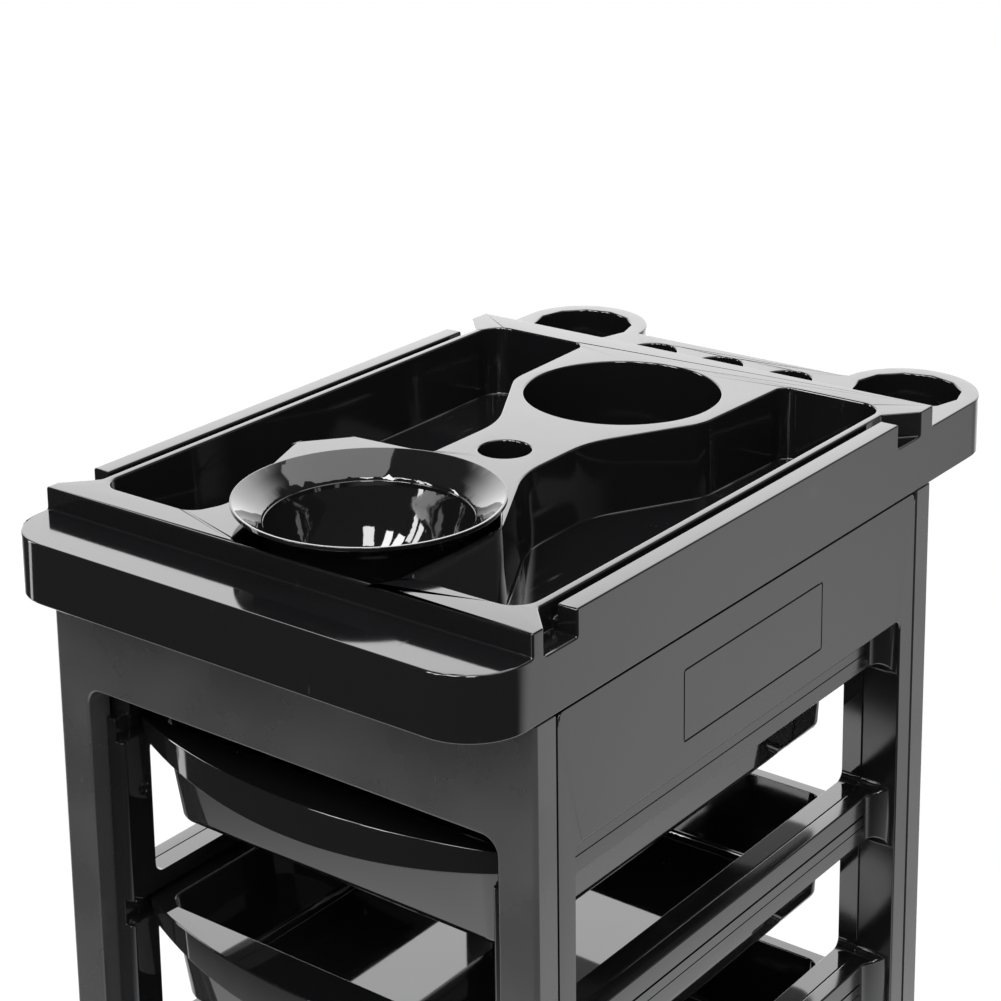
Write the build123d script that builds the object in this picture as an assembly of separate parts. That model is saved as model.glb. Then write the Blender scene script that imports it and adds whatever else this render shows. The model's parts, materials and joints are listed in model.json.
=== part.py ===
"""Salon trolley: a moulded top tray with a lift-out bowl, two portal frames, two ladder sides with
inner drawer guides, five pull-out drawers and a base on four twin-wheel swivel castors.

Frame: origin on the floor under the middle of the body, +Z up, drawers open towards -Y, millimetres.
"""
from build123d import *
import math
import os

# ---------------------------------------------------------------- driving dimensions
HALF_WIDTH = 155.0            # body and tray, half the width
TOP = 780.0                   # upper face of the tray's raised block
BLOCK_FRONT, BLOCK_BACK = -188.5, 188.0
LEDGE_DROP = 12.0             # front and back ledges lie this far below the block
LEDGE_FRONT, LEDGE_BACK = -225.0, 239.0
LEDGE_CORNER = 32.0
SKIRT_BOTTOM = TOP - 45.0
TRAY_WALL = 3.0
POCKET_WALL = 2.2
POCKET_DEPTH = 42.6
POCKET_DRAFT = 1.5

RING_X, RING_Y, RING_OUTER, RING_HOLE = 114.0, 236.0, 41.0, 30.8
RING_SIDES = 12
TOOL_HOLE_RADIUS, TOOL_HOLE_Y, TOOL_HOLE_PITCH = 14.3, 215.0, 47.0
TOOL_HOLE_DEPTH = 30.0
CUP_X, CUP_Y, CUP_RADIUS, CUP_DEPTH = 1.6, 108.8, 55.8, 70.0
MIDDLE_HOLE_X, MIDDLE_HOLE_Y, MIDDLE_HOLE_DEPTH = 4.0, -5.8, 60.0

RAIL_INNER, GROOVE_INNER, RAIL_FRONT, RAIL_BACK = 144.0, 139.6, -154.5, 148.0
NOTCH_DEPTH, NOTCH_FLARE, GROOVE_DEPTH = 14.0, 26.0, 9.0

BODY_TOP = SKIRT_BOTTOM - 0.5  # top of the frames and side panels
BODY_BOTTOM = 103.0           # they stand on the base here
FRAME_FRONT, FRAME_BACK = -188.0, -172.0
FRAME_WALL = 2.8
OPENING_HALF, OPENING_TOP, OPENING_BOTTOM = 133.0, TOP - 107.0, 131.0
OPENING_CORNER = 9.0
POST_X, POST_Y = 143.0, 180.0  # middle of each frame post, where the screws run

PANEL_FRONT, PANEL_BACK = -170.5, 169.5
PANEL_INNER = 132.5           # joint between the outer panel and the drawer guide
PANEL_WALL = 2.8
GUIDE_INNER, GUIDE_FRONT, GUIDE_BACK = 120.5, -176.0, 169.5
WINDOW_FRONT, WINDOW_BACK, WINDOW_CORNER = -157.0, 156.0, 6.0
RUNG_FACE = 142.0             # outer face of the rungs, set back from the panel's face
RUNG_FLARE = 13.0             # cove where a rung's face runs out into a post
RUNG_HEIGHT = 27.5
DRAWERS = 5
DRAWER_PITCH = 106.5
FIRST_RUNG_TOP = TOP - 116.5
BADGE_FRONT, BADGE_BACK, BADGE_TOP, BADGE_BOTTOM = -66.0, 68.0, TOP - 63.0, TOP - 101.5
LINE_WIDTH, LINE_DEPTH = 1.0, 0.7
RUNNER_TOP, RUNNER_BOTTOM, RUNNER_BED = 10.0, 22.4, 126.2

FIRST_RIM = TOP - 130.0       # top of the first drawer's rim
RIM_HALF, RIM_BACK, RIM_THICK, RIM_EDGE_DROP = 124.8, 161.0, 2.4, 8.0
BOW_FRONT, BOW_END, BOW_CORNER = -184.0, -160.0, 8.0
BIN_HALF, BIN_FRONT, BIN_BACK, BIN_CORNER = 113.0, -158.0, 153.0, 12.0
FLOOR_HALF, FLOOR_FRONT, FLOOR_BACK = 109.5, -149.0, 151.5
BIN_DEPTH, BIN_WALL, BIN_ROUND = 58.0, 2.2, 6.0
LIP_DROP, LIP_END_DROP = 21.0, 11.0
FOOT_X, FOOT_LENGTH, FOOT_WIDTH, FOOT_HEIGHT = 35.0, 200.0, 12.0, 3.0

BOWL_X, BOWL_Y = 8.5, -124.2
BOWL_RIM, BOWL_RIM_RADIUS = TOP + 12.0, 68.7
BOWL_THROAT_RADIUS, BOWL_FLARE_DROP = 53.5, 10.5
BOWL_FOOT_RADIUS, BOWL_DEPTH, BOWL_WALL = 30.0, 52.0, 2.0
WELL_FLOOR = TOP - 42.0

BASE_BOTTOM, BASE_WALL, BASE_CORNER = 72.0, 3.0, 14.0
SHELF_HALF_X, SHELF_HALF_Y, SHELF_DEPTH = 116.0, 166.0, 9.0
CASTOR_X, CASTOR_Y = 122.0, 148.0
WHEEL_RADIUS, WHEEL_INNER, WHEEL_OUTER = 25.0, 9.0, 23.0
WEB_HALF = 8.0                # half the thickness of the hood's web between the wheels
CASTOR_TRAIL = 19.0           # axle's distance from the swivel axis
HOOD_INNER, HOOD_OUTER = 27.0, 30.0
HOOD_TOP = 61.0
STEM_RADIUS, STEM_BOTTOM, STEM_TOP = 4.0, 42.0, 95.0
SOCKET_RADIUS, SOCKET_TOP = 6.5, 98.0
AXLE_RADIUS = 3.0
RUNNING_GAP = 0.06            # radial gap of a shaft that turns in its hole
SCREW_RADIUS, SCREW_HEAD = 1.6, 3.4
SCREW_PLAY, HEAD_PLAY = 0.05, 0.3
TRAY_BOSS, TRAY_BOSS_HOLE = 6.0, 16.0
FRAME_PILOT, FRAME_SOCKET = 2.0, 15.0
FRAME_ROUND, OPENING_ROUND = 2.5, 1.5
PANEL_BOSS, PANEL_PILOT = 4.5, 24.0
CASTOR_BOSS, FLANGE_RADIUS, COLLAR_RADIUS = 13.0, 11.0, 8.0
RIB_HALF = 1.2                # half the thickness of the base's ribs


# ---------------------------------------------------------------- helpers
def outline(corners):
    """A closed face from (x, y, corner radius) points, straight sides joined by tangent arcs."""
    count = len(corners)
    marks = []
    for i, (x, y, radius) in enumerate(corners):
        here = Vector(x, y)
        before = (Vector(*corners[i - 1][:2]) - here).normalized()
        after = (Vector(*corners[(i + 1) % count][:2]) - here).normalized()
        if radius == 0:
            marks.append((here, None, here))
            continue
        half = before.get_angle(after) * math.pi / 360
        reach = radius / math.tan(half)
        inward = (before + after).normalized()
        middle = here + inward * (radius / math.sin(half) - radius)
        marks.append((here + before * reach, middle, here + after * reach))
    edges = []
    for i, (start, middle, end) in enumerate(marks):
        if middle is not None:
            edges.append(ThreePointArc(start, middle, end))
        edges.append(Line(end, marks[(i + 1) % count][0]))
    return make_face(Curve() + edges)


def rectangle(x0, x1, y0, y1, radius=0.0):
    """A rectangle between two corners, with all four corners rounded alike."""
    return outline([(x0, y0, radius), (x1, y0, radius), (x1, y1, radius), (x0, y1, radius)])


def prism(face, bottom, top):
    """The face, drawn in plan, raised from one height to another."""
    return extrude(Plane.XY.offset(bottom) * face, amount=top - bottom)


def block(x0, x1, y0, y1, z0, z1):
    """A box between two corners."""
    return Pos((x0 + x1) / 2, (y0 + y1) / 2, (z0 + z1) / 2) * Box(x1 - x0, y1 - y0, z1 - z0)


def pocket(face, mouth, depth, draft=POCKET_DRAFT):
    """A drafted hollow, narrower towards its floor."""
    return extrude(Plane.XY.offset(mouth) * face, amount=-depth, taper=draft)


def cylinder(x, y, radius, bottom, top):
    """An upright cylinder."""
    return Pos(x, y, (bottom + top) / 2) * Cylinder(radius, top - bottom)


def mirrored(part):
    """The other hand of a part, across the middle plane."""
    return mirror(part, about=Plane.YZ)


def side_prism(face, x0, x1):
    """A face drawn in (y, z) and raised along X."""
    plane = Plane(origin=(x0, 0, 0), x_dir=(0, 1, 0), z_dir=(1, 0, 0))
    return extrude(plane * face, amount=x1 - x0)


def front_prism(face, y0, y1):
    """A face drawn in (x, z) and raised along Y."""
    plane = Plane(origin=(0, y0, 0), x_dir=(1, 0, 0), z_dir=(0, -1, 0))
    return extrude(plane * face, amount=y0 - y1)


def save(node, part):
    """Write one sub-part, moved so that the origin is under the middle of the whole outline."""
    middle = (LEDGE_FRONT + RING_Y + RING_OUTER) / 2
    part = Pos(0, -middle, 0) * part
    part.label = node
    export_step(part, f"parts/{node}.step")


# ---------------------------------------------------------------- top tray
def right_compartment():
    """The long side pocket on the right, waisted round the bowl well and the cup."""
    return outline([
        (71.0, -170.0, 4), (70.0, -97.0, 25), (33.5, -30.0, 60), (33.5, 28.0, 60),
        (67.5, 90.0, 30), (70.5, 170.0, 9), (135.0, 170.0, 14), (135.0, -170.0, 14)])


def left_compartment():
    """The left pocket: its inner wall steps out round the eight-sided island."""
    return outline([
        (-135.0, -170.0, 14), (-135.0, 170.0, 14), (-66.0, 170.0, 9), (-63.0, 93.0, 30),
        (-25.0, 27.0, 60), (-25.0, -32.5, 4), (-74.0, -36.5, 3), (-94.5, -61.5, 3),
        (-62.0, -150.0, 20), (-70.0, -170.0, 12)])


def bowl_well():
    """The many-sided well that the bowl stands in."""
    return outline([
        (-27.5, -186.0, 5), (63.0, -186.0, 2), (69.0, -175.0, 3), (69.0, -97.0, 6),
        (49.0, -70.0, 6), (36.0, -61.0, 8), (-38.0, -61.0, 8), (-62.0, -88.0, 8)])


def ledge_outline(grow):
    """Plan of the back ledge with its two rings, moved outwards by grow."""
    side = HALF_WIDTH + grow
    strip = rectangle(-side, side, BLOCK_BACK - 20, RING_Y)
    bridge = rectangle(-80, 80, BLOCK_BACK - 20, LEDGE_BACK + grow)
    rings = [Pos(x, RING_Y) * Circle(RING_OUTER + grow) for x in (-RING_X, RING_X)]
    return strip + bridge + rings[0] + rings[1]


def front_ledge_outline(grow):
    """Plan of the front ledge, its outer corners rounded, moved outwards by grow."""
    side, corner = HALF_WIDTH + grow, LEDGE_CORNER + grow
    return outline([(-side, LEDGE_FRONT - grow, corner), (side, LEDGE_FRONT - grow, corner),
                    (side, BLOCK_FRONT + 20, 0), (-side, BLOCK_FRONT + 20, 0)])


def notch(end, way):
    """The flared slot through the rail at one of its ends, on the right; way points outwards."""
    flare = end + NOTCH_FLARE * way
    face = outline([
        (GROOVE_INNER, end - 2 * way, 0), (GROOVE_INNER, end + 9 * way, 0),
        (HALF_WIDTH, flare, 0), (HALF_WIDTH + 5, flare, 0), (HALF_WIDTH + 5, end, 0),
        (RAIL_INNER, end, 0), (RAIL_INNER, end - 2 * way, 0)])
    return prism(face, TOP - NOTCH_DEPTH, TOP + 5)


def top_tray():
    """The tray: a hollow moulding with pockets, cups and holes let into its top."""
    ledge = TOP - LEDGE_DROP
    body = block(-HALF_WIDTH, HALF_WIDTH, BLOCK_FRONT, BLOCK_BACK, SKIRT_BOTTOM, TOP)
    body += prism(front_ledge_outline(0), SKIRT_BOTTOM, ledge)
    body += prism(ledge_outline(0), SKIRT_BOTTOM, ledge)
    inside = HALF_WIDTH - TRAY_WALL
    void = block(-inside, inside, BLOCK_FRONT + TRAY_WALL, BLOCK_BACK - TRAY_WALL,
                 SKIRT_BOTTOM - 1, TOP - TRAY_WALL)
    void += prism(front_ledge_outline(-TRAY_WALL), SKIRT_BOTTOM - 1, ledge - TRAY_WALL)
    void += prism(ledge_outline(-TRAY_WALL), SKIRT_BOTTOM - 1, ledge - TRAY_WALL)
    body -= void

    hollows = [
        (right_compartment(), TOP, POCKET_DEPTH), (left_compartment(), TOP, POCKET_DEPTH),
        (bowl_well(), TOP, TOP - WELL_FLOOR)]
    for face, mouth, depth in hollows:
        shell = offset(face, POCKET_WALL)
        body += pocket(shell, mouth, depth + POCKET_WALL) & block(
            -HALF_WIDTH, HALF_WIDTH, BLOCK_FRONT, BLOCK_BACK, 0, TOP)
    cups = [(CUP_X, CUP_Y, CUP_RADIUS, TOP, CUP_DEPTH),
            (MIDDLE_HOLE_X, MIDDLE_HOLE_Y, TOOL_HOLE_RADIUS, TOP, MIDDLE_HOLE_DEPTH)]
    for step in (-1, 0, 1):
        cups.append((step * TOOL_HOLE_PITCH, TOOL_HOLE_Y, TOOL_HOLE_RADIUS, ledge, TOOL_HOLE_DEPTH))
    for x, y, radius, mouth, depth in cups:
        body += cylinder(x, y, radius + POCKET_WALL, mouth - depth - POCKET_WALL, mouth)
    ring_depth = ledge - SKIRT_BOTTOM - POCKET_WALL
    for x in (-RING_X, RING_X):
        body += cylinder(x, RING_Y, RING_HOLE + POCKET_WALL, SKIRT_BOTTOM, ledge)

    for face, mouth, depth in hollows:
        body -= pocket(face, mouth, depth)
    for x, y, radius, mouth, depth in cups:
        body -= cylinder(x, y, radius, mouth - depth, mouth + 1)
    twelve = RegularPolygon(RING_HOLE, RING_SIDES)
    for x in (-RING_X, RING_X):
        body -= prism(Pos(x, RING_Y) * twelve, ledge - ring_depth, ledge + 1)

    land = block(PANEL_INNER, HALF_WIDTH, RAIL_FRONT - NOTCH_FLARE - 4, RAIL_BACK + NOTCH_FLARE + 4,
                 TOP - NOTCH_DEPTH - POCKET_WALL, TOP)
    land -= block(RAIL_INNER + POCKET_WALL, HALF_WIDTH - TRAY_WALL, RAIL_FRONT + POCKET_WALL,
                  RAIL_BACK - POCKET_WALL, 0, TOP - TRAY_WALL)
    body += land + mirrored(land)
    for face, mouth, depth in hollows[:2]:
        body -= pocket(face, mouth, depth)
    groove = block(GROOVE_INNER, RAIL_INNER, RAIL_FRONT, RAIL_BACK, TOP - GROOVE_DEPTH, TOP + 1)
    cut = groove + notch(RAIL_FRONT, -1) + notch(RAIL_BACK, 1)
    body -= cut + mirrored(cut)

    for x in (-POST_X, POST_X):
        for y in (-POST_Y, POST_Y):
            body += cylinder(x, y, TRAY_BOSS, BODY_TOP, ledge - TRAY_WALL)
            body -= cylinder(x, y, SCREW_RADIUS + SCREW_PLAY, BODY_TOP - 1,
                             BODY_TOP + TRAY_BOSS_HOLE)
    return body


# ---------------------------------------------------------------- bowl
def dye_bowl():
    """A mixing bowl: a conical flange, a sharp step, then a deep rounded body. It just lifts out."""
    throat = BOWL_RIM - BOWL_FLARE_DROP
    foot = BOWL_RIM - BOWL_DEPTH
    wall = BOWL_WALL
    outer = Polyline((0, foot), (BOWL_FOOT_RADIUS, foot))
    outer += Bezier((BOWL_FOOT_RADIUS, foot), (44, foot + 3), (50, foot + 20),
                    (BOWL_THROAT_RADIUS - 1, throat - wall))
    outer += Polyline((BOWL_THROAT_RADIUS - 1, throat - wall), (BOWL_RIM_RADIUS, BOWL_RIM - 2),
                      (BOWL_RIM_RADIUS, BOWL_RIM), (BOWL_RIM_RADIUS - 1.2, BOWL_RIM),
                      (BOWL_THROAT_RADIUS, throat))
    outer += Bezier((BOWL_THROAT_RADIUS, throat), (49, throat - 14), (44, foot + wall + 2),
                    (BOWL_FOOT_RADIUS - 2, foot + wall))
    outer += Polyline((BOWL_FOOT_RADIUS - 2, foot + wall), (0, foot + wall), (0, foot))
    section = Plane.XZ * make_face(outer)
    return Pos(BOWL_X, BOWL_Y, 0) * revolve(section, Axis.Z)


# ---------------------------------------------------------------- frames
def front_frame():
    """The portal under the tray's front edge, hollow from behind."""
    frame = front_prism(rectangle(-HALF_WIDTH, HALF_WIDTH, BODY_BOTTOM, BODY_TOP),
                        FRAME_BACK, FRAME_FRONT)
    uprights = frame.edges().filter_by(Axis.Z).group_by(Axis.Y)[0]
    frame = fillet(uprights, FRAME_ROUND)
    opening = rectangle(-OPENING_HALF, OPENING_HALF, OPENING_BOTTOM, OPENING_TOP, OPENING_CORNER)
    frame -= front_prism(opening, FRAME_BACK + 1, FRAME_FRONT - 1)
    mouth = frame.faces().sort_by(Axis.Y)[0].inner_wires()[0]
    frame = fillet(mouth.edges(), OPENING_ROUND)

    inner = rectangle(-HALF_WIDTH + FRAME_WALL, HALF_WIDTH - FRAME_WALL,
                      BODY_BOTTOM + FRAME_WALL, BODY_TOP - FRAME_WALL)
    inner -= rectangle(-OPENING_HALF - FRAME_WALL, OPENING_HALF + FRAME_WALL,
                       OPENING_BOTTOM - FRAME_WALL, OPENING_TOP + FRAME_WALL, OPENING_CORNER)
    cavity = front_prism(inner, FRAME_BACK + 1, FRAME_FRONT + FRAME_WALL)
    for x in (-POST_X, POST_X):
        cavity -= block(x - 7, x + 7, FRAME_FRONT, FRAME_BACK + 1, BODY_BOTTOM, BODY_BOTTOM + 18)
        for z in range(180, 720, 90):
            cavity -= block(x - 12, x + 12, FRAME_FRONT, FRAME_BACK, z, z + 2)
    for x in (-88, -44, 0, 44, 88):
        cavity -= block(x - 1, x + 1, FRAME_FRONT, FRAME_BACK, OPENING_TOP, BODY_TOP)
    frame -= cavity
    for x in (-POST_X, POST_X):
        frame -= cylinder(x, -POST_Y, FRAME_PILOT, BODY_TOP - 4, BODY_TOP + 1)
        frame -= cylinder(x, -POST_Y, SCREW_RADIUS + SCREW_PLAY, BODY_BOTTOM - 1,
                          BODY_BOTTOM + FRAME_SOCKET)
    return frame


def back_frame():
    """The same portal, turned round, under the tray's back edge."""
    return Rot(0, 0, 180) * front_frame()


# ---------------------------------------------------------------- side panels and drawer guides
def rung_tops():
    """Heights of the rungs' upper faces, from the top down."""
    return [FIRST_RUNG_TOP - DRAWER_PITCH * i for i in range(DRAWERS + 1)]


def windows(front, back, x0, x1):
    """The openings between the rungs, cut through from x0 to x1."""
    tops = rung_tops()
    cuts = []
    for above, below in zip(tops, tops[1:]):
        hole = rectangle(front, back, below, above - RUNG_HEIGHT, WINDOW_CORNER)
        cuts.append(side_prism(hole, x0, x1))
    return cuts


def screw_points():
    """Where (y, z) the guide is screwed to the panel."""
    return [(y, z) for z in (170.0, 400.0, 610.0) for y in (-163.7, 162.7)]


def right_side_panel():
    """The outer ladder: a header with an engraved line, two posts and the set-back rungs."""
    panel = side_prism(outline([(PANEL_FRONT, BODY_BOTTOM, 0), (PANEL_BACK, BODY_BOTTOM, 0),
                                (PANEL_BACK, BODY_TOP, 5), (PANEL_FRONT, BODY_TOP, 5)]),
                       PANEL_INNER, HALF_WIDTH)
    for cut in windows(WINDOW_FRONT, WINDOW_BACK, PANEL_INNER - 1, HALF_WIDTH + 1):
        panel -= cut
    plan = prism(rectangle(RUNG_FACE, HALF_WIDTH + 40, WINDOW_FRONT, WINDOW_BACK, RUNG_FLARE),
                 0, TOP)
    reach = side_prism(outline([(WINDOW_FRONT, BODY_BOTTOM - 1, 0), (WINDOW_BACK, BODY_BOTTOM - 1, 0),
                                (WINDOW_BACK, FIRST_RUNG_TOP, WINDOW_CORNER),
                                (WINDOW_FRONT, FIRST_RUNG_TOP, WINDOW_CORNER)]),
                       RUNG_FACE - 1, HALF_WIDTH + 20)
    panel -= plan & reach

    badge = rectangle(BADGE_FRONT, BADGE_BACK, BADGE_BOTTOM, BADGE_TOP, 2)
    badge -= rectangle(BADGE_FRONT + LINE_WIDTH, BADGE_BACK - LINE_WIDTH,
                       BADGE_BOTTOM + LINE_WIDTH, BADGE_TOP - LINE_WIDTH, 1.2)
    panel -= side_prism(badge, HALF_WIDTH - LINE_DEPTH, HALF_WIDTH + 1)
    for top in rung_tops():
        for drop, height, deep in ((10.5, 1.4, 1.2), (17.3, 0.7, 0.6)):
            panel -= block(RUNG_FACE - deep, RUNG_FACE + 1, WINDOW_FRONT + RUNG_FLARE,
                           WINDOW_BACK - RUNG_FLARE, top - drop - height, top - drop)

    hollow = HALF_WIDTH - PANEL_WALL
    header = block(PANEL_INNER - 1, hollow, PANEL_FRONT + PANEL_WALL, PANEL_BACK - PANEL_WALL,
                   FIRST_RUNG_TOP + PANEL_WALL, BODY_TOP - PANEL_WALL)
    for y in (-110, -55, 0, 55, 110):
        header -= block(PANEL_INNER, hollow, y - 1, y + 1, FIRST_RUNG_TOP, BODY_TOP)
    panel -= header
    for y0, y1 in ((PANEL_FRONT + PANEL_WALL, WINDOW_FRONT - PANEL_WALL),
                   (WINDOW_BACK + PANEL_WALL, PANEL_BACK - PANEL_WALL)):
        post = block(PANEL_INNER - 1, hollow, y0, y1, BODY_BOTTOM + PANEL_WALL, FIRST_RUNG_TOP)
        for y, z in screw_points():
            post -= Pos(0, y, z) * Rot(0, 90, 0) * Cylinder(PANEL_BOSS, 4 * HALF_WIDTH)
        panel -= post
    for y, z in screw_points():
        panel -= Pos(PANEL_INNER, y, z) * Rot(0, 90, 0) * Cylinder(SCREW_RADIUS + SCREW_PLAY,
                                                            PANEL_PILOT)
    return panel


def right_drawer_guide():
    """The inner ladder: two posts with rounded pads and a runner groove along every rung."""
    guide = side_prism(rectangle(PANEL_FRONT, GUIDE_BACK, BODY_BOTTOM, BODY_TOP - 3),
                       GUIDE_INNER, PANEL_INNER)
    guide += block(GUIDE_INNER, PANEL_INNER, GUIDE_FRONT, PANEL_FRONT, OPENING_BOTTOM + 11,
                   FIRST_RUNG_TOP - RUNNER_TOP - 1)
    for cut in windows(WINDOW_FRONT, WINDOW_BACK, GUIDE_INNER - 1, PANEL_INNER + 1):
        guide -= cut
    for top in rung_tops()[:DRAWERS]:
        groove = side_prism(rectangle(GUIDE_FRONT - 20, RIM_BACK + 1.5, top - RUNNER_BOTTOM,
                                      top - RUNNER_TOP), GUIDE_INNER - 1, RUNNER_BED)
        guide -= groove
        mouth = block(GUIDE_INNER - 1, RUNNER_BED, GUIDE_FRONT - 1, GUIDE_FRONT + 3,
                      top - RUNNER_BOTTOM - 1.2, top - RUNNER_TOP + 1.2)
        guide -= mouth
    nose = [edge for edge in guide.edges().filter_by(Axis.Z)
            if edge.center().Y < GUIDE_FRONT + 0.1 and edge.center().X < GUIDE_INNER + 0.1]
    guide = fillet(nose, 2.5)
    header = block(GUIDE_INNER + 3, PANEL_INNER + 1, PANEL_FRONT + 4, GUIDE_BACK - 4,
                   FIRST_RUNG_TOP + 3, BODY_TOP - 6)
    guide -= header
    for y, z in screw_points():
        guide -= Pos(PANEL_INNER - 6, y, z) * Rot(0, 90, 0) * Cylinder(SCREW_RADIUS + HEAD_PLAY, 30)
        guide -= Pos(GUIDE_INNER, y, z) * Rot(0, 90, 0) * Cylinder(SCREW_HEAD + HEAD_PLAY, 6)
    return guide


def guide_screws():
    """Round-head screws that hold both guides to the side panels."""
    screws = []
    for y, z in screw_points():
        head = Pos(GUIDE_INNER + 1.9, y, z) * Rot(0, 90, 0) * Cylinder(SCREW_HEAD, 2.2)
        shank = Pos(GUIDE_INNER + 12.0, y, z) * Rot(0, 90, 0) * Cylinder(SCREW_RADIUS, 20.0)
        slot = block(GUIDE_INNER - 1, GUIDE_INNER + 1.8, y - 0.5, y + 0.5, z - 2.4, z + 2.4)
        cross = block(GUIDE_INNER - 1, GUIDE_INNER + 1.8, y - 2.4, y + 2.4, z - 0.5, z + 0.5)
        screw = head + shank - slot - cross
        screws += [screw, mirrored(screw)]
    return Compound(screws)


# ---------------------------------------------------------------- drawers
def bow(front, end, half, corner, back):
    """Plan of a drawer's rim: straight sides and a front that bulges forwards."""
    edges = [ThreePointArc((-half, end), (0, front), (half, end)),
             Polyline((half, end), (half, back), (-half, back), (-half, end))]
    face = make_face(edges)
    return fillet([v for v in face.vertices() if v.Y < end + 1], corner)


def bin_body(rim, grow, depth):
    """The bin's inside, moved outwards by grow: it narrows a little and rounds off at its floor."""
    mouth = rectangle(-BIN_HALF - grow, BIN_HALF + grow, BIN_FRONT - grow, BIN_BACK + grow,
                      BIN_CORNER + grow)
    floor = rectangle(-FLOOR_HALF - grow, FLOOR_HALF + grow, FLOOR_FRONT - grow, FLOOR_BACK + grow,
                      BIN_CORNER + grow)
    body = loft([Plane.XY.offset(rim) * mouth, Plane.XY.offset(rim - depth) * floor], ruled=True)
    return fillet(body.faces().sort_by(Axis.Z)[0].edges(), BIN_ROUND)


def drawer(rim):
    """A bin with a flat rim that runs in the guides, and a bowed front lip with a deep skirt."""
    plate_face = bow(BOW_FRONT, BOW_END, RIM_HALF, BOW_CORNER, RIM_BACK)
    body = prism(plate_face, rim - RIM_THICK, rim)
    edge = prism(plate_face, rim - RIM_EDGE_DROP, rim)
    edge -= prism(bow(BOW_FRONT + BIN_WALL, BOW_END + BIN_WALL, RIM_HALF - BIN_WALL,
                      BOW_CORNER - BIN_WALL, RIM_BACK + 5), rim - 60, rim + 1)
    body += edge
    skirt_face = bow(BOW_FRONT, BOW_END, RIM_HALF, BOW_CORNER, RIM_BACK)
    skirt_face -= bow(BOW_FRONT + BIN_WALL, BOW_END + BIN_WALL, RIM_HALF - 0.1,
                      BOW_CORNER - BIN_WALL, RIM_BACK + 5)
    skirt = prism(skirt_face, rim - LIP_DROP - 2, rim)
    sag = LIP_DROP - LIP_END_DROP
    span = GUIDE_INNER - 1.5
    radius = (span * span + sag * sag) / (2 * sag)
    under = Plane.XZ * (Pos(0, rim - LIP_DROP + radius) * Circle(radius))
    keep = extrude(under, amount=200, both=True) & block(-span, span, FRAME_FRONT, 0, rim - 60, rim)
    body += skirt & keep

    body += bin_body(rim, BIN_WALL, BIN_DEPTH + BIN_WALL)
    for x in (-FOOT_X, FOOT_X):
        foot = rectangle(x - FOOT_WIDTH / 2, x + FOOT_WIDTH / 2, -FOOT_LENGTH / 2, FOOT_LENGTH / 2,
                         FOOT_WIDTH / 2 - 0.1)
        floor = rim - BIN_DEPTH - BIN_WALL
        body += prism(foot, floor - FOOT_HEIGHT, floor + 1)
    return body - bin_body(rim, 0, BIN_DEPTH)


# ---------------------------------------------------------------- base and castors
def castor_points():
    """Name and swivel axis (x, y) of each castor."""
    return [(f"{end}_{side}", sx * CASTOR_X, sy * CASTOR_Y)
            for end, sy in (("front", -1), ("back", 1)) for side, sx in (("left", -1), ("right", 1))]


def base_tray():
    """The chassis moulding: a shallow shelf on top, skirt walls, ribs and four castor bosses."""
    plan = rectangle(-HALF_WIDTH, HALF_WIDTH, -POST_Y - 8, POST_Y + 8, BASE_CORNER)
    inner = rectangle(-HALF_WIDTH + BASE_WALL, HALF_WIDTH - BASE_WALL, -POST_Y - 8 + BASE_WALL,
                      POST_Y + 8 - BASE_WALL, BASE_CORNER - BASE_WALL)
    shelf = rectangle(-SHELF_HALF_X, SHELF_HALF_X, -SHELF_HALF_Y, SHELF_HALF_Y, 12)
    body = prism(plan, BASE_BOTTOM, BODY_BOTTOM) - prism(inner, BASE_BOTTOM - 1,
                                                         BODY_BOTTOM - BASE_WALL)
    body += prism(offset(shelf, BASE_WALL), BODY_BOTTOM - SHELF_DEPTH - BASE_WALL, BODY_BOTTOM)
    body -= prism(shelf, BODY_BOTTOM - SHELF_DEPTH, BODY_BOTTOM + 1)
    under = BODY_BOTTOM - SHELF_DEPTH - 1
    for x in (-60, 0, 60):
        body += block(x - RIB_HALF, x + RIB_HALF, -POST_Y - 6, POST_Y + 6, BASE_BOTTOM + 6, under)
    for y in (-90, 0, 90):
        body += block(-HALF_WIDTH + 2, HALF_WIDTH - 2, y - RIB_HALF, y + RIB_HALF,
                      BASE_BOTTOM + 6, under)
    for name, x, y in castor_points():
        body += cylinder(x, y, CASTOR_BOSS, BASE_BOTTOM, BODY_BOTTOM - 1)
        body -= cylinder(x, y, SOCKET_RADIUS, BASE_BOTTOM - 1, SOCKET_TOP + 1)
    for x in (-POST_X, POST_X):
        for y in (-POST_Y, POST_Y):
            body -= cylinder(x, y, FRAME_PILOT, BASE_BOTTOM, BODY_BOTTOM + 1)
    return body


def upright_screws(seat, way, length):
    """Four screws in the frame posts, their heads against seat, pointing way (+1 is up)."""
    screws = []
    for x in (-POST_X, POST_X):
        for y in (-POST_Y, POST_Y):
            head = cylinder(x, y, SCREW_HEAD, min(seat, seat - 2.4 * way), max(seat, seat - 2.4 * way))
            screws.append(head + cylinder(x, y, SCREW_RADIUS, seat - 1, seat + length))
    return Compound(screws)


def castor_socket(x, y):
    """Steel sleeve pressed into the base, with a flange under it."""
    sleeve = cylinder(x, y, SOCKET_RADIUS, BASE_BOTTOM - 3, SOCKET_TOP)
    sleeve += cylinder(x, y, FLANGE_RADIUS, BASE_BOTTOM - 3, BASE_BOTTOM)
    return sleeve - cylinder(x, y, STEM_RADIUS + RUNNING_GAP, 0, STEM_TOP + 1)


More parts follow.
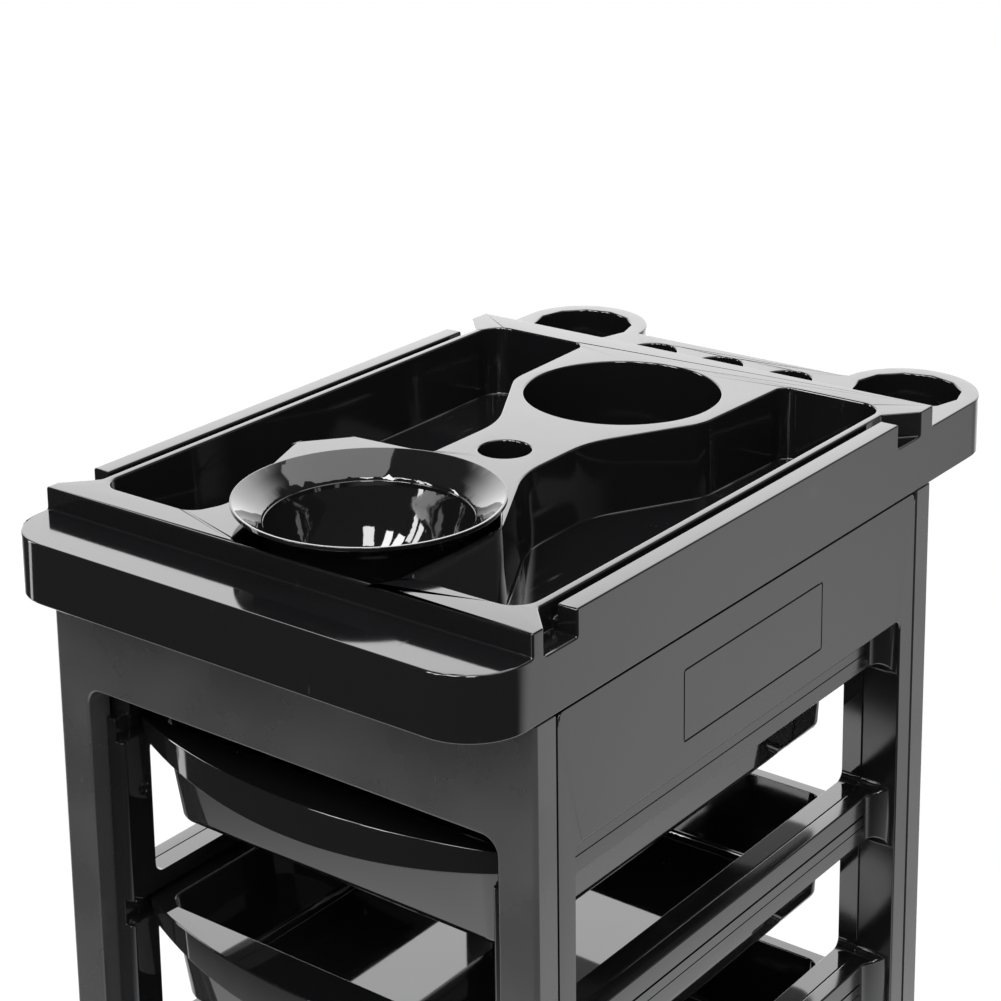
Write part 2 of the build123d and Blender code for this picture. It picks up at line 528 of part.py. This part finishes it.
def castor_stem(x, y):
    """The grip-ring stem that turns in the socket, with its collar."""
    collar = cylinder(x, y, COLLAR_RADIUS, HOOD_TOP, BASE_BOTTOM - 3.4)
    stem = cylinder(x, y, STEM_RADIUS, STEM_BOTTOM, STEM_TOP)
    stem = chamfer(stem.edges().sort_by(Axis.Z)[-1], 1)
    return stem + collar


def castor_hood(x, y):
    """Hood over both wheels with a web between them that carries the stem and the axle."""
    axle = Pos(x, y + CASTOR_TRAIL, WHEEL_RADIUS) * Rot(0, 90, 0)
    fender = axle * Cylinder(HOOD_OUTER, 2 * WHEEL_OUTER + 5)
    fender = fillet(fender.edges(), 3)
    fender -= axle * Cylinder(HOOD_INNER, 2 * WHEEL_OUTER + 1.2)
    rear = y + CASTOR_TRAIL
    fender -= block(x - 40, x + 40, rear - 60, rear + 60, -40, WHEEL_RADIUS + 4)
    fender -= axle * Cylinder(HOOD_INNER - 5, 100)
    web = axle * Cylinder(HOOD_INNER + 1, 2 * WEB_HALF)
    web -= block(x - 40, x + 40, rear - 60, rear + 60, -40, WHEEL_RADIUS - 11)
    boss = cylinder(x, y, WEB_HALF, STEM_BOTTOM - 3, HOOD_TOP)
    body = fender + web + boss
    body -= cylinder(x, y, STEM_RADIUS, STEM_BOTTOM, HOOD_TOP + 1)
    return body - axle * Cylinder(AXLE_RADIUS + RUNNING_GAP, 100)


def castor_axle(x, y):
    """The pin both wheels are pressed on; it turns in the web."""
    return Pos(x, y + CASTOR_TRAIL, WHEEL_RADIUS) * Rot(0, 90, 0) * Cylinder(
        AXLE_RADIUS, 2 * WHEEL_OUTER - 8)


def castor_wheel(x, y, side):
    """One wheel: a rounded tread, a dished outer face and a hub bored for the axle."""
    middle = side * (WHEEL_INNER + WHEEL_OUTER) / 2
    width = WHEEL_OUTER - WHEEL_INNER
    place = Pos(x + middle, y + CASTOR_TRAIL, WHEEL_RADIUS) * Rot(0, 90 * side, 0)
    wheel = fillet(Cylinder(WHEEL_RADIUS, width).edges(), 2)
    outer = Pos(0, 0, width / 2)
    wheel -= outer * Cylinder(WHEEL_RADIUS - 5, 5)
    wheel += Pos(0, 0, width / 2 - 2.5) * Cylinder(8, 3)
    wheel -= Pos(0, 0, -2) * Cylinder(AXLE_RADIUS, width)
    return place * wheel


def main():
    """Write every sub-part."""
    os.makedirs("parts", exist_ok=True)
    save("top_tray", top_tray())
    save("dye_bowl", dye_bowl())
    save("front_frame", front_frame())
    save("back_frame", back_frame())
    panel, guide = right_side_panel(), right_drawer_guide()
    save("right_side_panel", panel)
    save("left_side_panel", mirrored(panel))
    save("right_drawer_guide", guide)
    save("left_drawer_guide", mirrored(guide))
    for number in range(DRAWERS):
        save(f"drawer_{number + 1}", drawer(FIRST_RIM - DRAWER_PITCH * number))
    save("base_tray", base_tray())
    save("guide_screws", guide_screws())
    save("tray_screws", upright_screws(BODY_TOP - FRAME_WALL, 1, 17.0))
    save("base_screws", upright_screws(BODY_BOTTOM - BASE_WALL, 1, 16.0))
    for name, x, y in castor_points():
        save(f"{name}_castor_socket", castor_socket(x, y))
        save(f"{name}_castor_stem", castor_stem(x, y))
        save(f"{name}_castor_hood", castor_hood(x, y))
        save(f"{name}_castor_axle", castor_axle(x, y))
        save(f"{name}_castor_left_wheel", castor_wheel(x, y, -1))
        save(f"{name}_castor_right_wheel", castor_wheel(x, y, 1))


if __name__ == "__main__":
    main()
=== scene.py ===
"""Looks of the salon trolley: finishes, crisp rounded edges, studio light and camera."""

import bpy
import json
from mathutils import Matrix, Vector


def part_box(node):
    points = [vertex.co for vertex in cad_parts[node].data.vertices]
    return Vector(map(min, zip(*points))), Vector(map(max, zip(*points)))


bl_info = {
    "name": "Salon Trolley Looks",
    "version": (1, 0, 0),
    "blender": (4, 5, 0),
    "location": "View3D > Sidebar > Trolley",
    "description": "Finishes a glossy black salon trolley and sets up its studio",
    "category": "Object",
}

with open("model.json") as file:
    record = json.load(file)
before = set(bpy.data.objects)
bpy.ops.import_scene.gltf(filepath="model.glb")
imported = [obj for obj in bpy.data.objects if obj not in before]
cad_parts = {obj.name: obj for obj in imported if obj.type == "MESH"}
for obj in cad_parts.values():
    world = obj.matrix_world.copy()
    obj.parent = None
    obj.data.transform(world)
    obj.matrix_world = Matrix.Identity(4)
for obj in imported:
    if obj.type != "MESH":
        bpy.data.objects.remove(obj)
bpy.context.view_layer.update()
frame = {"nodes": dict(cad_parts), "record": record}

import json
import math
from itertools import combinations

import bmesh
import bpy
from bpy.props import FloatProperty, FloatVectorProperty, PointerProperty
from mathutils import Matrix, Vector

NODES = frame["nodes"]
BODIES = frame["record"]["behaviour"]["bodies"]
TRAY_LOW, TRAY_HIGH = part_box("top_tray")
PLATE_TOP = TRAY_HIGH.z
MIDDLE_Y = (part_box("front_frame")[0].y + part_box("back_frame")[1].y) / 2
JOIN = 0.00001                      # points closer than this are one, metres
HARD_ANGLE = math.radians(40)       # edges that turn by more are rounded
NARROW_WEDGE = math.radians(35)     # hard edges this close together stay sharp
PARALLEL = 0.999                    # cosine between edges that count as parallel
SPLIT_ANGLE = math.radians(38)      # shading breaks where faces turn by more
STRIP_WIDTHS = 1.9                  # a strip is narrower than this many roundings
DIM_ROOM, BACK_WALL, SIDE_FLOOR, FRONT_FLOOR, WINDOW = 0.05, 2.6, 1.1, 0.4, 9.0


# ------------------------------------------------------------------ settings
class TrolleyFinish(bpy.types.PropertyGroup):
    """Colours and surface sizes of the trolley's plastics."""
    plastic: FloatVectorProperty(
        name="Plastic", description="Colour of the black plastic", subtype="COLOR",
        size=3, min=0, max=1, default=(0.005, 0.005, 0.0055))
    dust: FloatVectorProperty(
        name="Dust", description="Colour of the dust specks and scuffs", subtype="COLOR",
        size=3, min=0, max=1, default=(0.30, 0.30, 0.31))
    tread: FloatVectorProperty(
        name="Tread", description="Colour of the castor wheels' tread", subtype="COLOR",
        size=3, min=0, max=1, default=(0.10, 0.10, 0.105))
    steel: FloatVectorProperty(
        name="Steel", description="Colour of the plated steel pieces", subtype="COLOR",
        size=3, min=0, max=1, default=(0.66, 0.67, 0.69))
    polish: FloatProperty(
        name="Polish", description="Roughness of the polished plastic", subtype="FACTOR",
        min=0, max=1, default=0.07)
    satin: FloatProperty(
        name="Satin", description="Roughness of the duller plastic", subtype="FACTOR",
        min=0, max=1, default=0.2)
    index: FloatProperty(
        name="Index", description="Refractive index of the plastic", min=1, max=3, default=1.8)


class TrolleyEdges(bpy.types.PropertyGroup):
    """How far the moulded edges are rounded."""
    moulding: FloatProperty(
        name="Moulding", description="Rounding of the large mouldings", unit="LENGTH",
        min=0, default=0.0011)
    bin: FloatProperty(
        name="Drawer", description="Rounding of the drawers", unit="LENGTH",
        min=0, default=0.0008)
    small: FloatProperty(
        name="Small parts", description="Rounding of castors and screws", unit="LENGTH",
        min=0, default=0.0003)


class TrolleyStudio(bpy.types.PropertyGroup):
    """The camera and the floor."""
    lens: FloatProperty(name="Lens", description="Focal length", unit="CAMERA", default=88.36)
    azimuth: FloatProperty(
        name="Azimuth", description="Camera's turn to the right of the drawers' side",
        subtype="ANGLE", default=math.radians(39.52))
    elevation: FloatProperty(
        name="Elevation", description="Camera's look down", subtype="ANGLE",
        default=math.radians(13.64))
    roll: FloatProperty(
        name="Roll", description="Camera's lean", subtype="ANGLE", default=math.radians(-1.403))
    place: FloatVectorProperty(
        name="Place", description="Camera's place from the middle of the tray's upper face",
        subtype="TRANSLATION", size=3, default=(0.7458, -0.9954, 0.449))
    shift: FloatVectorProperty(
        name="Shift", description="Lens shift across and up", size=2, default=(0.1104, -0.3212))
    floor: FloatVectorProperty(
        name="Floor", description="Colour of the floor", subtype="COLOR", size=3,
        min=0, max=1, default=(0.86, 0.86, 0.87))
    shadow_reach: FloatProperty(
        name="Shadow reach", description="How far out the floor shows the shadow", unit="LENGTH",
        default=0.55)


# ------------------------------------------------------------------ shader maths
class Value:
    """A number on the surface. Sums and products of values add their Math nodes."""

    def __init__(self, shade, socket):
        self.shade = shade
        self.socket = socket

    def _math(self, operation, first, second):
        node = self.shade.node("ShaderNodeMath", {"operation": operation}, {0: first, 1: second})
        return Value(self.shade, node.outputs[0])

    def __add__(self, other):
        return self._math("ADD", self, other)

    def __radd__(self, other):
        return self._math("ADD", other, self)

    def __sub__(self, other):
        return self._math("SUBTRACT", self, other)

    def __rsub__(self, other):
        return self._math("SUBTRACT", other, self)

    def __mul__(self, other):
        return self._math("MULTIPLY", self, other)

    def __rmul__(self, other):
        return self._math("MULTIPLY", other, self)

    def __lt__(self, other):
        return self._math("LESS_THAN", self, other)


class Shade:
    """A material under construction."""

    def __init__(self, name):
        self.material = bpy.data.materials.new(name)
        self.material.use_nodes = True
        self.tree = self.material.node_tree
        self.tree.nodes.clear()
        self.out = self.node("ShaderNodeOutputMaterial")

    def node(self, kind, settings=None, inputs=None):
        """Adds a node, sets its settings first, then its sockets from values or links."""
        node = self.tree.nodes.new(kind)
        for key, value in (settings or {}).items():
            setattr(node, key, value)
        for key, value in (inputs or {}).items():
            if isinstance(value, Value):
                value = value.socket
            if isinstance(value, bpy.types.NodeSocket):
                self.tree.links.new(value, node.inputs[key])
            else:
                node.inputs[key].default_value = value
        return node

    def value(self, kind, output, settings=None, inputs=None):
        """The named output of a new node, as a value."""
        return Value(self, self.node(kind, settings, inputs).outputs[output])

    def place(self, stretch=(1, 1, 1)):
        """Object-space place on the surface, stretched along each axis."""
        where = self.node("ShaderNodeTexCoord").outputs["Object"]
        if stretch == (1, 1, 1):
            return where
        return self.node("ShaderNodeMapping", None,
                         {"Vector": where, "Scale": stretch}).outputs["Vector"]

    def noise(self, scale, detail=2.0, stretch=(1, 1, 1)):
        """Smooth noise from 0 to 1."""
        return self.value("ShaderNodeTexNoise", "Fac", None,
                          {"Vector": self.place(stretch), "Scale": scale, "Detail": detail})

    def clip(self, value, low, high):
        """0 below low, 1 above high, smooth between."""
        return self.value("ShaderNodeMapRange", "Result", {"interpolation_type": "SMOOTHSTEP"},
                          {"Value": value, "From Min": low, "From Max": high})

    def facing_up(self, low, high):
        """1 where the surface faces up."""
        normal = self.node("ShaderNodeNewGeometry").outputs["Normal"]
        parts = self.node("ShaderNodeSeparateXYZ", None, {0: normal})
        return self.clip(Value(self, parts.outputs["Z"]), low, high)

    def mix(self, factor, first, second):
        """A colour between two colours."""
        node = self.node("ShaderNodeMix", {"data_type": "RGBA"},
                         {0: factor, 6: first, 7: second})
        return node.outputs[2]

    def bump(self, height, depth):
        """A normal from a height, depth in metres."""
        return self.node("ShaderNodeBump", None,
                         {"Height": height, "Distance": depth, "Strength": 1.0}).outputs["Normal"]

    def surface(self, colour, roughness, normal, **sockets):
        """Ends the material in a Principled shader."""
        inputs = {"Base Color": colour, "Roughness": roughness, "Normal": normal, **sockets}
        shader = self.node("ShaderNodeBsdfPrincipled", None, inputs)
        self.tree.links.new(shader.outputs[0], self.out.inputs["Surface"])
        return self.material


def opaque(colour):
    """A colour with full alpha."""
    return (*colour, 1.0)


# ------------------------------------------------------------------ materials
def black_plastic(name, roughness, dusty=1.0, waviness=0.00012, mottle=0.0, painted_sheen=0.0):
    """Moulded black plastic: faint sink and orange peel, smears, hairline scuffs and dust;
    painted_sheen lightens the colour evenly as a painted sheen.
    """
    finish = bpy.context.scene.trolley_finish
    shade = Shade(name)
    smear = shade.clip(shade.noise(9.0, 5.0), 0.45, 0.75)
    hairline = shade.clip(shade.noise(160.0, 1.0, (1.0, 0.05, 0.3)), 0.70, 0.78)
    scuff = hairline * shade.clip(shade.noise(22.0, 2.0), 0.56, 0.70)
    speck = shade.value("ShaderNodeTexVoronoi", "Distance", None,
                        {"Vector": shade.place(), "Scale": 420.0}) < 0.075
    patch = shade.clip(shade.noise(35.0, 3.0), 0.60, 0.72)
    dust = speck * patch * shade.facing_up(0.2, 0.7) * dusty
    marks = dust + scuff * 0.10
    # painted sheen: the base colour is lifted evenly to stand in for a satin reflection
    base = tuple(part + painted_sheen for part in finish.plastic)
    colour = shade.mix(marks, opaque(base), opaque(finish.dust))
    rough = roughness + smear * 0.05 + scuff * 0.25 + dust * 0.4
    if mottle:
        rough = rough + shade.clip(shade.noise(14.0, 6.0), 0.3, 0.8) * mottle
    height = shade.noise(11.0, 1.0) + shade.noise(60.0, 1.0) * 0.05
    return shade.surface(colour, rough, shade.bump(height, waviness), IOR=finish.index)


def wheel_tread(name):
    """Dark grey soft tread, dusty and a little worn."""
    finish = bpy.context.scene.trolley_finish
    shade = Shade(name)
    grime = shade.clip(shade.noise(60.0, 5.0), 0.45, 0.7)
    colour = shade.mix(grime * 0.5, opaque(finish.tread), opaque(finish.dust))
    height = shade.noise(900.0, 3.0)
    return shade.surface(colour, 0.55 + grime * 0.2, shade.bump(height, 0.0001))


def plated_steel(name):
    """Bright zinc plate with fine turning marks."""
    finish = bpy.context.scene.trolley_finish
    shade = Shade(name)
    marks = shade.noise(900.0, 2.0, (1.0, 1.0, 6.0))
    stain = shade.clip(shade.noise(150.0, 4.0), 0.5, 0.7)
    colour = shade.mix(stain * 0.3, opaque(finish.steel), opaque((0.35, 0.34, 0.33)))
    return shade.surface(colour, 0.22 + marks * 0.15 + stain * 0.1,
                         shade.bump(marks, 0.00003), Metallic=1.0)


def studio_glow(shade, way):
    """Brightness of the studio that the plastics mirror, by direction."""
    def toward(x, y, z, low, high):
        spread = shade.node("ShaderNodeVectorMath", {"operation": "DOT_PRODUCT"},
                            {0: way, 1: (x, y, z)})
        return shade.clip(Value(shade, spread.outputs["Value"]), low, high)
    def pane(x, y, half, low, high):
        """An upright window in the direction (x, y), from one height to another."""
        across = toward(y, -x, 0, -half - 0.01, -half) - toward(y, -x, 0, half, half + 0.01)
        tall = toward(0, 0, 1, low - 0.03, low) - toward(0, 0, 1, high, high + 0.03)
        return across * tall * toward(x, y, 0, 0.1, 0.2)
    back_wall = toward(-0.55, 0.80, 0.24, 0.55, 0.9)
    side_floor = toward(0.62, 0.70, -0.35, 0.8, 1.0)
    front_floor = toward(-0.17, -0.90, -0.42, 0.93, 0.99)
    windows = (pane(-0.48, -0.88, 0.05, 0.04, 0.62) + pane(-0.32, -0.95, 0.04, 0.04, 0.62)
               + pane(-0.93, -0.37, 0.06, 0.02, 0.5))
    return (DIM_ROOM + back_wall * BACK_WALL + side_floor * SIDE_FLOOR
            + front_floor * FRONT_FLOOR + windows * WINDOW)


def corner(point):
    """A point as a key that its copies on neighbouring faces share."""
    return tuple(round(part / JOIN / 5) for part in point)


def is_strip(edge, hard, width):
    """Whether a face beside the edge is a strip too narrow to round both of its sides."""
    start, end = (point.co for point in edge.verts)
    along = (end - start).normalized()
    for face in edge.link_faces:
        for point in face.verts:
            across = point.co - start
            if point in edge.verts or (across - along * across.dot(along)).length > width:
                continue
            for other in point.link_edges:
                way = (other.verts[1].co - other.verts[0].co).normalized()
                if other in hard and not set(other.verts) & set(edge.verts) \
                        and abs(way.dot(along)) > PARALLEL:
                    return True
    return False


def mark_hard_edges(piece, width, seated):
    """Marks the edges to round. Narrow wedges and strips stay sharp, or they would fold, and so do
    the lowest and highest edges of a piece that is seated between two others."""
    mesh = piece.data
    whole = bmesh.new()
    whole.from_mesh(mesh)
    bmesh.ops.remove_doubles(whole, verts=whole.verts, dist=JOIN)
    hard = {edge for edge in whole.edges
            if len(edge.link_faces) == 2 and edge.calc_face_angle() > HARD_ANGLE}
    heights = {point: (piece.matrix_world @ point.co).z for point in whole.verts}
    low, high = min(heights.values()) + width, max(heights.values()) - width
    spared = set()
    for point in whole.verts:
        ways = [(edge.other_vert(point).co - point.co).normalized()
                for edge in point.link_edges if edge in hard]
        wedge = any(one.dot(other) > math.cos(NARROW_WEDGE)
                    for one, other in combinations(ways, 2))
        if wedge or (seated and not low < heights[point] < high):
            spared.add(point)
    marked = {frozenset(corner(end.co) for end in edge.verts) for edge in hard
              if not spared & set(edge.verts) and not is_strip(edge, hard, STRIP_WIDTHS * width)}
    whole.free()
    places = [corner(point.co) for point in mesh.vertices]
    weights = [float(frozenset(places[end] for end in edge.vertices) in marked)
               for edge in mesh.edges]
    weight = mesh.attributes.new("bevel_weight_edge", "FLOAT", "EDGE")
    weight.data.foreach_set("value", weights)


def dress(node, material, edge, seated=False):
    """Gives a CAD node its material and crisp rounded edges; its points aren't moved."""
    piece = NODES[node]
    piece.data.materials.clear()
    piece.data.materials.append(material)
    if "custom_normal" in piece.data.attributes:
        piece.data.attributes.remove(piece.data.attributes["custom_normal"])
    piece.data.shade_smooth()
    mark_hard_edges(piece, edge, seated)
    weld = piece.modifiers.new("Joined faces", "WELD")
    weld.merge_threshold = JOIN
    bevel = piece.modifiers.new("Rounded edges", "BEVEL")
    bevel.width = edge
    bevel.segments = 3
    bevel.limit_method = "WEIGHT"
    bevel.miter_outer = "MITER_ARC"
    bevel.use_clamp_overlap = False
    part = piece.modifiers.new("Hard edges", "EDGE_SPLIT")
    part.split_angle = SPLIT_ANGLE
    part.use_edge_sharp = False
    level = piece.modifiers.new("Level faces", "WEIGHTED_NORMAL")
    level.mode = "FACE_AREA"
    level.weight = 100
    level.keep_sharp = True
    return piece


def family(*words):
    """CAD nodes whose names hold every one of the words, in order of name."""
    return sorted(n for n in NODES if all(word in n for word in words))


# ------------------------------------------------------------------ operators
class Step(bpy.types.Operator):
    """One step of the trolley's making."""
    bl_options = {"REGISTER", "UNDO"}

    @property
    def finish(self):
        return bpy.context.scene.trolley_finish

    @property
    def edges(self):
        return bpy.context.scene.trolley_edges


class TROLLEY_OT_stage(Step):
    """Sets the camera, the lamps, the floor and the white surround"""
    bl_idname = "trolley.stage"
    bl_label = "Studio"

    def execute(self, context):
        studio = context.scene.trolley_studio
        scene = context.scene
        scene.view_settings.view_transform = "Standard"
        self.camera(scene, studio)
        self.lamps(scene)
        self.floor(scene, studio)
        self.surround(scene)
        return {"FINISHED"}

    def camera(self, scene, studio):
        data = bpy.data.cameras.new("camera")
        data.lens = studio.lens
        data.shift_x, data.shift_y = studio.shift
        camera = bpy.data.objects.new("camera", data)
        scene.collection.objects.link(camera)
        turn, drop, roll = studio.azimuth, studio.elevation, studio.roll
        back = Vector((math.sin(turn) * math.cos(drop), -math.cos(turn) * math.cos(drop),
                       math.sin(drop)))
        right = Vector((math.cos(turn), math.sin(turn), 0))
        up = back.cross(right)
        across = right * math.cos(roll) + up * math.sin(roll)
        along = back.cross(across)
        place = Vector(studio.place) + Vector((0, MIDDLE_Y, PLATE_TOP))
        camera.matrix_world = Matrix.Translation(place) @ Matrix(
            (across, along, back)).transposed().to_4x4()
        scene.camera = camera

    def lamps(self, scene):
        """Softboxes: name, place, size, power."""
        middle = Vector((0, 0, PLATE_TOP * 0.8))
        boxes = [
            ("overhead", (0.3, 0.2, 2.6), (1.6, 1.6), 14.0),
            ("window_left", (-0.15, -1.35, 2.1), (0.28, 0.9), 9.0),
            ("window_middle", (0.25, -1.35, 2.1), (0.28, 0.9), 9.0),
            ("window_right", (0.85, -1.1, 2.0), (0.35, 0.9), 9.0),
        ]
        for name, place, size, power in boxes:
            data = bpy.data.lights.new(name, "AREA")
            data.shape = "RECTANGLE"
            data.size, data.size_y = size
            data.energy = power
            lamp = bpy.data.objects.new(name, data)
            lamp.location = place
            lamp.rotation_euler = (Vector(place) - middle).to_track_quat("Z", "Y").to_euler()
            lamp.visible_camera = False
            scene.collection.objects.link(lamp)

    def floor(self, scene, studio):
        """A pale floor that shows the shadow near the trolley and is white further out."""
        bpy.ops.mesh.primitive_circle_add(vertices=96, radius=40, fill_type="NGON")
        floor = bpy.context.object
        floor.name = "floor"
        shade = Shade("pale floor")
        near = shade.clip(shade.value("ShaderNodeVectorMath", "Value", {"operation": "LENGTH"},
                                      {0: shade.place()}), studio.shadow_reach * 2.2,
                          studio.shadow_reach)
        matt = shade.node("ShaderNodeBsdfDiffuse", None, {"Color": opaque(studio.floor)})
        white = shade.node("ShaderNodeEmission", None, {"Color": (1, 1, 1, 1), "Strength": 1.0})
        path = shade.node("ShaderNodeLightPath")
        camera = Value(shade, path.outputs["Is Camera Ray"])
        glossy = Value(shade, path.outputs["Is Glossy Ray"])
        way = shade.node("ShaderNodeVectorMath", {"operation": "NORMALIZE"}, {0: shade.place()})
        strength = camera + glossy * studio_glow(shade, way.outputs[0])
        shade.tree.links.new(strength.socket, white.inputs["Strength"])
        far = (1 - near) * shade.clip(camera + glossy, 0.0, 1.0)
        mixed = shade.node("ShaderNodeMixShader", None,
                           {0: far, 1: matt.outputs[0], 2: white.outputs[0]})
        shade.tree.links.new(mixed.outputs[0], shade.out.inputs["Surface"])
        floor.data.materials.append(shade.material)

    def surround(self, scene):
        """White to the camera, and a soft studio to the plastics: bright behind, dim in front."""
        world = bpy.data.worlds.new("surround")
        scene.world = world
        world.use_nodes = True
        tree = world.node_tree
        tree.nodes.clear()
        shade = Shade.__new__(Shade)
        shade.tree = tree
        shade.out = shade.node("ShaderNodeOutputWorld")
        way = shade.node("ShaderNodeTexCoord").outputs["Generated"]
        path = shade.node("ShaderNodeLightPath")
        glossy = Value(shade, path.outputs["Is Glossy Ray"])
        strength = 1 + glossy * (studio_glow(shade, way) - 1)
        lit = shade.node("ShaderNodeBackground", None,
                         {"Color": (1, 1, 1, 1), "Strength": strength})
        tree.links.new(lit.outputs[0], shade.out.inputs["Surface"])


class TROLLEY_OT_tray(Step):
    """Finishes the moulded top tray"""
    bl_idname = "trolley.tray"
    bl_label = "Top tray"

    def execute(self, context):
        dress("top_tray", black_plastic("tray plastic", self.finish.polish), self.edges.moulding)
        return {"FINISHED"}


class TROLLEY_OT_bowl(Step):
    """Finishes the mixing bowl"""
    bl_idname = "trolley.bowl"
    bl_label = "Bowl"

    def execute(self, context):
        polished = black_plastic("bowl plastic", self.finish.polish * 0.5, 0.3, 0.00004)
        dress("dye_bowl", polished, self.edges.small)
        return {"FINISHED"}


class TROLLEY_OT_frames(Step):
    """Finishes the portal frames"""
    bl_idname = "trolley.frames"
    bl_label = "Frames"

    def execute(self, context):
        # frame plastic with a painted sheen: its colour is lifted lighter to look like the satin
        # reflection
        satin = black_plastic("frame plastic", self.finish.satin, 0.5, mottle=0.2, painted_sheen=0.03)
        for node in family("_frame"):
            dress(node, satin, self.edges.moulding, seated=True)
        return {"FINISHED"}


class TROLLEY_OT_sides(Step):
    """Finishes the side panels and the drawer guides"""
    bl_idname = "trolley.sides"
    bl_label = "Sides"

    def execute(self, context):
        outer = black_plastic("side plastic", self.finish.satin * 0.6, 0.5, mottle=0.05)
        inner = black_plastic("guide plastic", self.finish.polish, 0.8)
        for node in family("_side_panel"):
            dress(node, outer, self.edges.moulding, seated=True)
        for node in family("_drawer_guide"):
            dress(node, inner, self.edges.small, seated=True)
        return {"FINISHED"}


class TROLLEY_OT_drawers(Step):
    """Finishes the drawers"""
    bl_idname = "trolley.drawers"
    bl_label = "Drawers"

    def execute(self, context):
        plastic = black_plastic("drawer plastic", self.finish.polish * 0.4, 1.0, 0.00006)
        for body in BODIES:
            if body.startswith("drawer_"):
                for node in BODIES[body]:
                    dress(node, plastic, self.edges.bin)
        return {"FINISHED"}


class TROLLEY_OT_base(Step):
    """Finishes the base and the screws"""
    bl_idname = "trolley.base"
    bl_label = "Base"

    def execute(self, context):
        dress("base_tray", black_plastic("base plastic", self.finish.satin), self.edges.moulding)
        steel = plated_steel("screw steel")
        coated = black_plastic("black screw coat", self.finish.satin)
        for node in family("screws"):
            dress(node, coated if node.startswith("guide") else steel, self.edges.small)
        return {"FINISHED"}


class TROLLEY_OT_castors(Step):
    """Finishes the four castors"""
    bl_idname = "trolley.castors"
    bl_label = "Castors"

    def execute(self, context):
        hood = black_plastic("hood plastic", 0.35, 0.6)
        tread = wheel_tread("wheel tread")
        steel = plated_steel("castor steel")
        for node in family("_castor_"):
            if node.endswith("hood"):
                dress(node, hood, self.edges.small)
            elif node.endswith("wheel"):
                dress(node, tread, self.edges.small)
            else:
                dress(node, steel, self.edges.small)
        return {"FINISHED"}


class TROLLEY_PT_panel(bpy.types.Panel):
    """Lists the steps and their settings"""
    bl_idname = "TROLLEY_PT_panel"
    bl_label = "Salon trolley"
    bl_space_type = "VIEW_3D"
    bl_region_type = "UI"
    bl_category = "Trolley"

    def draw(self, context):
        for group in (context.scene.trolley_finish, context.scene.trolley_edges,
                      context.scene.trolley_studio):
            for name in group.__annotations__:
                self.layout.prop(group, name)
        for step in STEPS:
            self.layout.operator(step.bl_idname)


STEPS = (TROLLEY_OT_stage, TROLLEY_OT_tray, TROLLEY_OT_bowl, TROLLEY_OT_frames, TROLLEY_OT_sides,
         TROLLEY_OT_drawers, TROLLEY_OT_base, TROLLEY_OT_castors)
GROUPS = {"trolley_finish": TrolleyFinish, "trolley_edges": TrolleyEdges,
          "trolley_studio": TrolleyStudio}


def register():
    """Adds the settings, the steps and the panel."""
    for name, group in GROUPS.items():
        bpy.utils.register_class(group)
        setattr(bpy.types.Scene, name, PointerProperty(type=group))
    for step in (*STEPS, TROLLEY_PT_panel):
        bpy.utils.register_class(step)


def unregister():
    """Takes them out again."""
    for step in (TROLLEY_PT_panel, *reversed(STEPS)):
        bpy.utils.unregister_class(step)
    for name, group in GROUPS.items():
        delattr(bpy.types.Scene, name)
        bpy.utils.unregister_class(group)


def main():
    """Makes the whole scene."""
    register()
    for step in STEPS:
        area, name = step.bl_idname.split(".")
        getattr(getattr(bpy.ops, area), name)()


if __name__ == "__main__":
    main()
